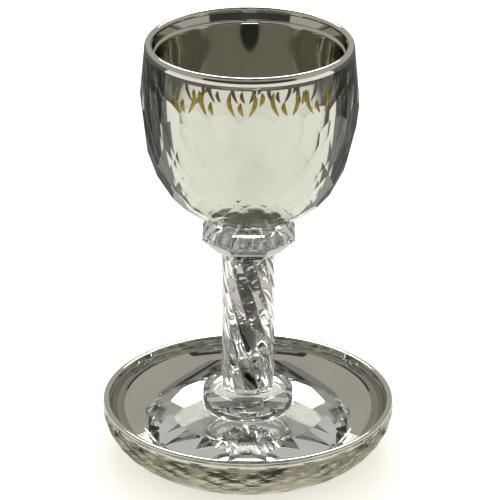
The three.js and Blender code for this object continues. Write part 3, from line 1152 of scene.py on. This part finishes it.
class CUP_OT_saucer(Maker):
    """Makes the silvered saucer of cut crystal"""

    bl_idname = "kiddush_cup.saucer"
    bl_label = "Saucer"

    def execute(self, context):
        scene = context.scene
        finishes = vessel_finishes("saucer_crystal", scene.cup_colours)
        saucer = cut_vessel(
            "silvered_saucer", scene.cup_saucer, SAUCER_CUT, SAUCER_BOX[1].z, finishes, underside=GLASS
        )
        finish_piece(saucer, "silvered_crystal", "saucer")
        return {"FINISHED"}


class CUP_OT_stones(Maker):
    """Makes the foot and the two knops of clear crystal"""

    bl_idname = "kiddush_cup.stones"
    bl_label = "Foot and Knops"

    def execute(self, context):
        sizes = context.scene.cup_stones
        colours = context.scene.cup_colours
        stem = context.scene.cup_stem.radius
        crystal = crystal_finish("clear_crystal", colours.crystal, STONE_RIPPLE)
        finishes = [crystal, cement_finish(colours)]
        finish_piece(make_foot(sizes, finishes), "clear_crystal", "foot")
        finish_piece(make_lower_knop(sizes, stem, finishes), "clear_crystal", "lower_knop")
        knop = make_upper_knop(sizes, stem, context.scene.cup_bowl.base_radius, finishes)
        finish_piece(knop, "clear_crystal", "upper_knop")
        return {"FINISHED"}


class CUP_OT_stem(Maker):
    """Makes the twisted tube and the chips sealed in it"""

    bl_idname = "kiddush_cup.stem"
    bl_label = "Stem"

    def execute(self, context):
        sizes = context.scene.cup_stem
        colours = context.scene.cup_colours
        glass = crystal_finish("tube_glass", colours.tube, TUBE_RIPPLE)
        tube = make_tube(sizes, [glass, cement_finish(colours)])
        finish_piece(tube, "twisted_glass", "stem")
        chips = make_chips(sizes, chip_finish(colours.chip_dark, colours.chip_pale))
        finish_piece(chips, "twisted_glass")
        return {"FINISHED"}


class CUP_OT_marks(Maker):
    """Makes the gold strokes on the band"""

    bl_idname = "kiddush_cup.marks"
    bl_label = "Gold Strokes"

    def execute(self, context):
        scene = context.scene
        marks = make_marks(scene.cup_marks, scene.cup_bowl, gold_finish(scene.cup_colours.gold))
        finish_piece(marks, "silvered_crystal")
        return {"FINISHED"}


class CUP_OT_studio(Maker):
    """Makes the floor, the lights, the reflecting cards and the camera"""

    bl_idname = "kiddush_cup.studio"
    bl_label = "Studio"

    def execute(self, context):
        make_floor(floor_finish(context.scene.cup_colours.floor))
        make_room(light_card_finish("tent_cloth", (1, 0.98, 0.92), 0.5))
        dark = light_card_finish("dark_card", (1, 0.97, 0.9), 0.03)
        slate = light_card_finish("slate_card", (0.88, 1, 0.98), 0.09)
        for name, left, right, near, far in DARK_SHEETS:
            make_card(name, level_card(left, right, near, far, SHEET_LEVEL), slate)
        for left, right in CEILING_BARS:
            bar = level_card(left, right, *CEILING_REACH, CEILING_LEVEL)
            make_card("ceiling_bar", bar, dark)
        cloth = level_card(*CEILING_SPAN, *CEILING_REACH, CEILING_LEVEL + CEILING_GAP)
        make_card("ceiling", cloth, light_card_finish("ceiling_cloth", (1, 0.97, 0.88), 0.3))
        wall = [(x, WALL_AT, 0) for x in (-WALL_HALF, WALL_HALF)]
        wall += [(x, WALL_AT, WALL_TALL) for x in (WALL_HALF, -WALL_HALF)]
        make_card("dark_wall", wall, dark)
        # Painted shadow and light: the saucer's shadow on the floor, as glowing dark and pale patches
        # seen only in reflections
        painted_shade_patches = painted_shade_card_finish("painted_shadow_sheet", (0.05, 0.045, 0.035), (0.5, 0.46, 0.34), 55)
        make_painted_shadow_ring(painted_shade_patches)
        make_softbox("softbox_back", (0, 0.9, 0.95), (0, 0, 0.05), (0.7, 0.35), 9)
        make_world()
        make_camera()
        return {"FINISHED"}


MAKERS = [CUP_OT_saucer, CUP_OT_stones, CUP_OT_stem, CUP_OT_bowl, CUP_OT_marks, CUP_OT_studio]


class CUP_PT_panel(bpy.types.Panel):
    """Lists the makers of the cup's pieces"""

    bl_idname = "CUP_PT_panel"
    bl_label = "Kiddush Cup"
    bl_space_type = "VIEW_3D"
    bl_region_type = "UI"
    bl_category = "Kiddush Cup"

    def draw(self, context):
        for maker in MAKERS:
            self.layout.operator(maker.bl_idname)
        for name in SETTINGS:
            box = self.layout.box()
            group = getattr(context.scene, name)
            for key in group.bl_rna.properties.keys():
                if key not in ("rna_type", "name"):
                    box.prop(group, key)


CLASSES = [*SETTINGS.values(), *MAKERS, CUP_PT_panel]


def register():
    for cls in CLASSES:
        bpy.utils.register_class(cls)
    for name, cls in SETTINGS.items():
        setattr(bpy.types.Scene, name, PointerProperty(type=cls))


def unregister():
    for name in SETTINGS:
        delattr(bpy.types.Scene, name)
    for cls in reversed(CLASSES):
        bpy.utils.unregister_class(cls)


def main():
    register()
    for maker in MAKERS:
        group, operator = maker.bl_idname.split(".")
        getattr(getattr(bpy.ops, group), operator)()
    bpy.context.view_layer.update()


if __name__ == "__main__":
    main()
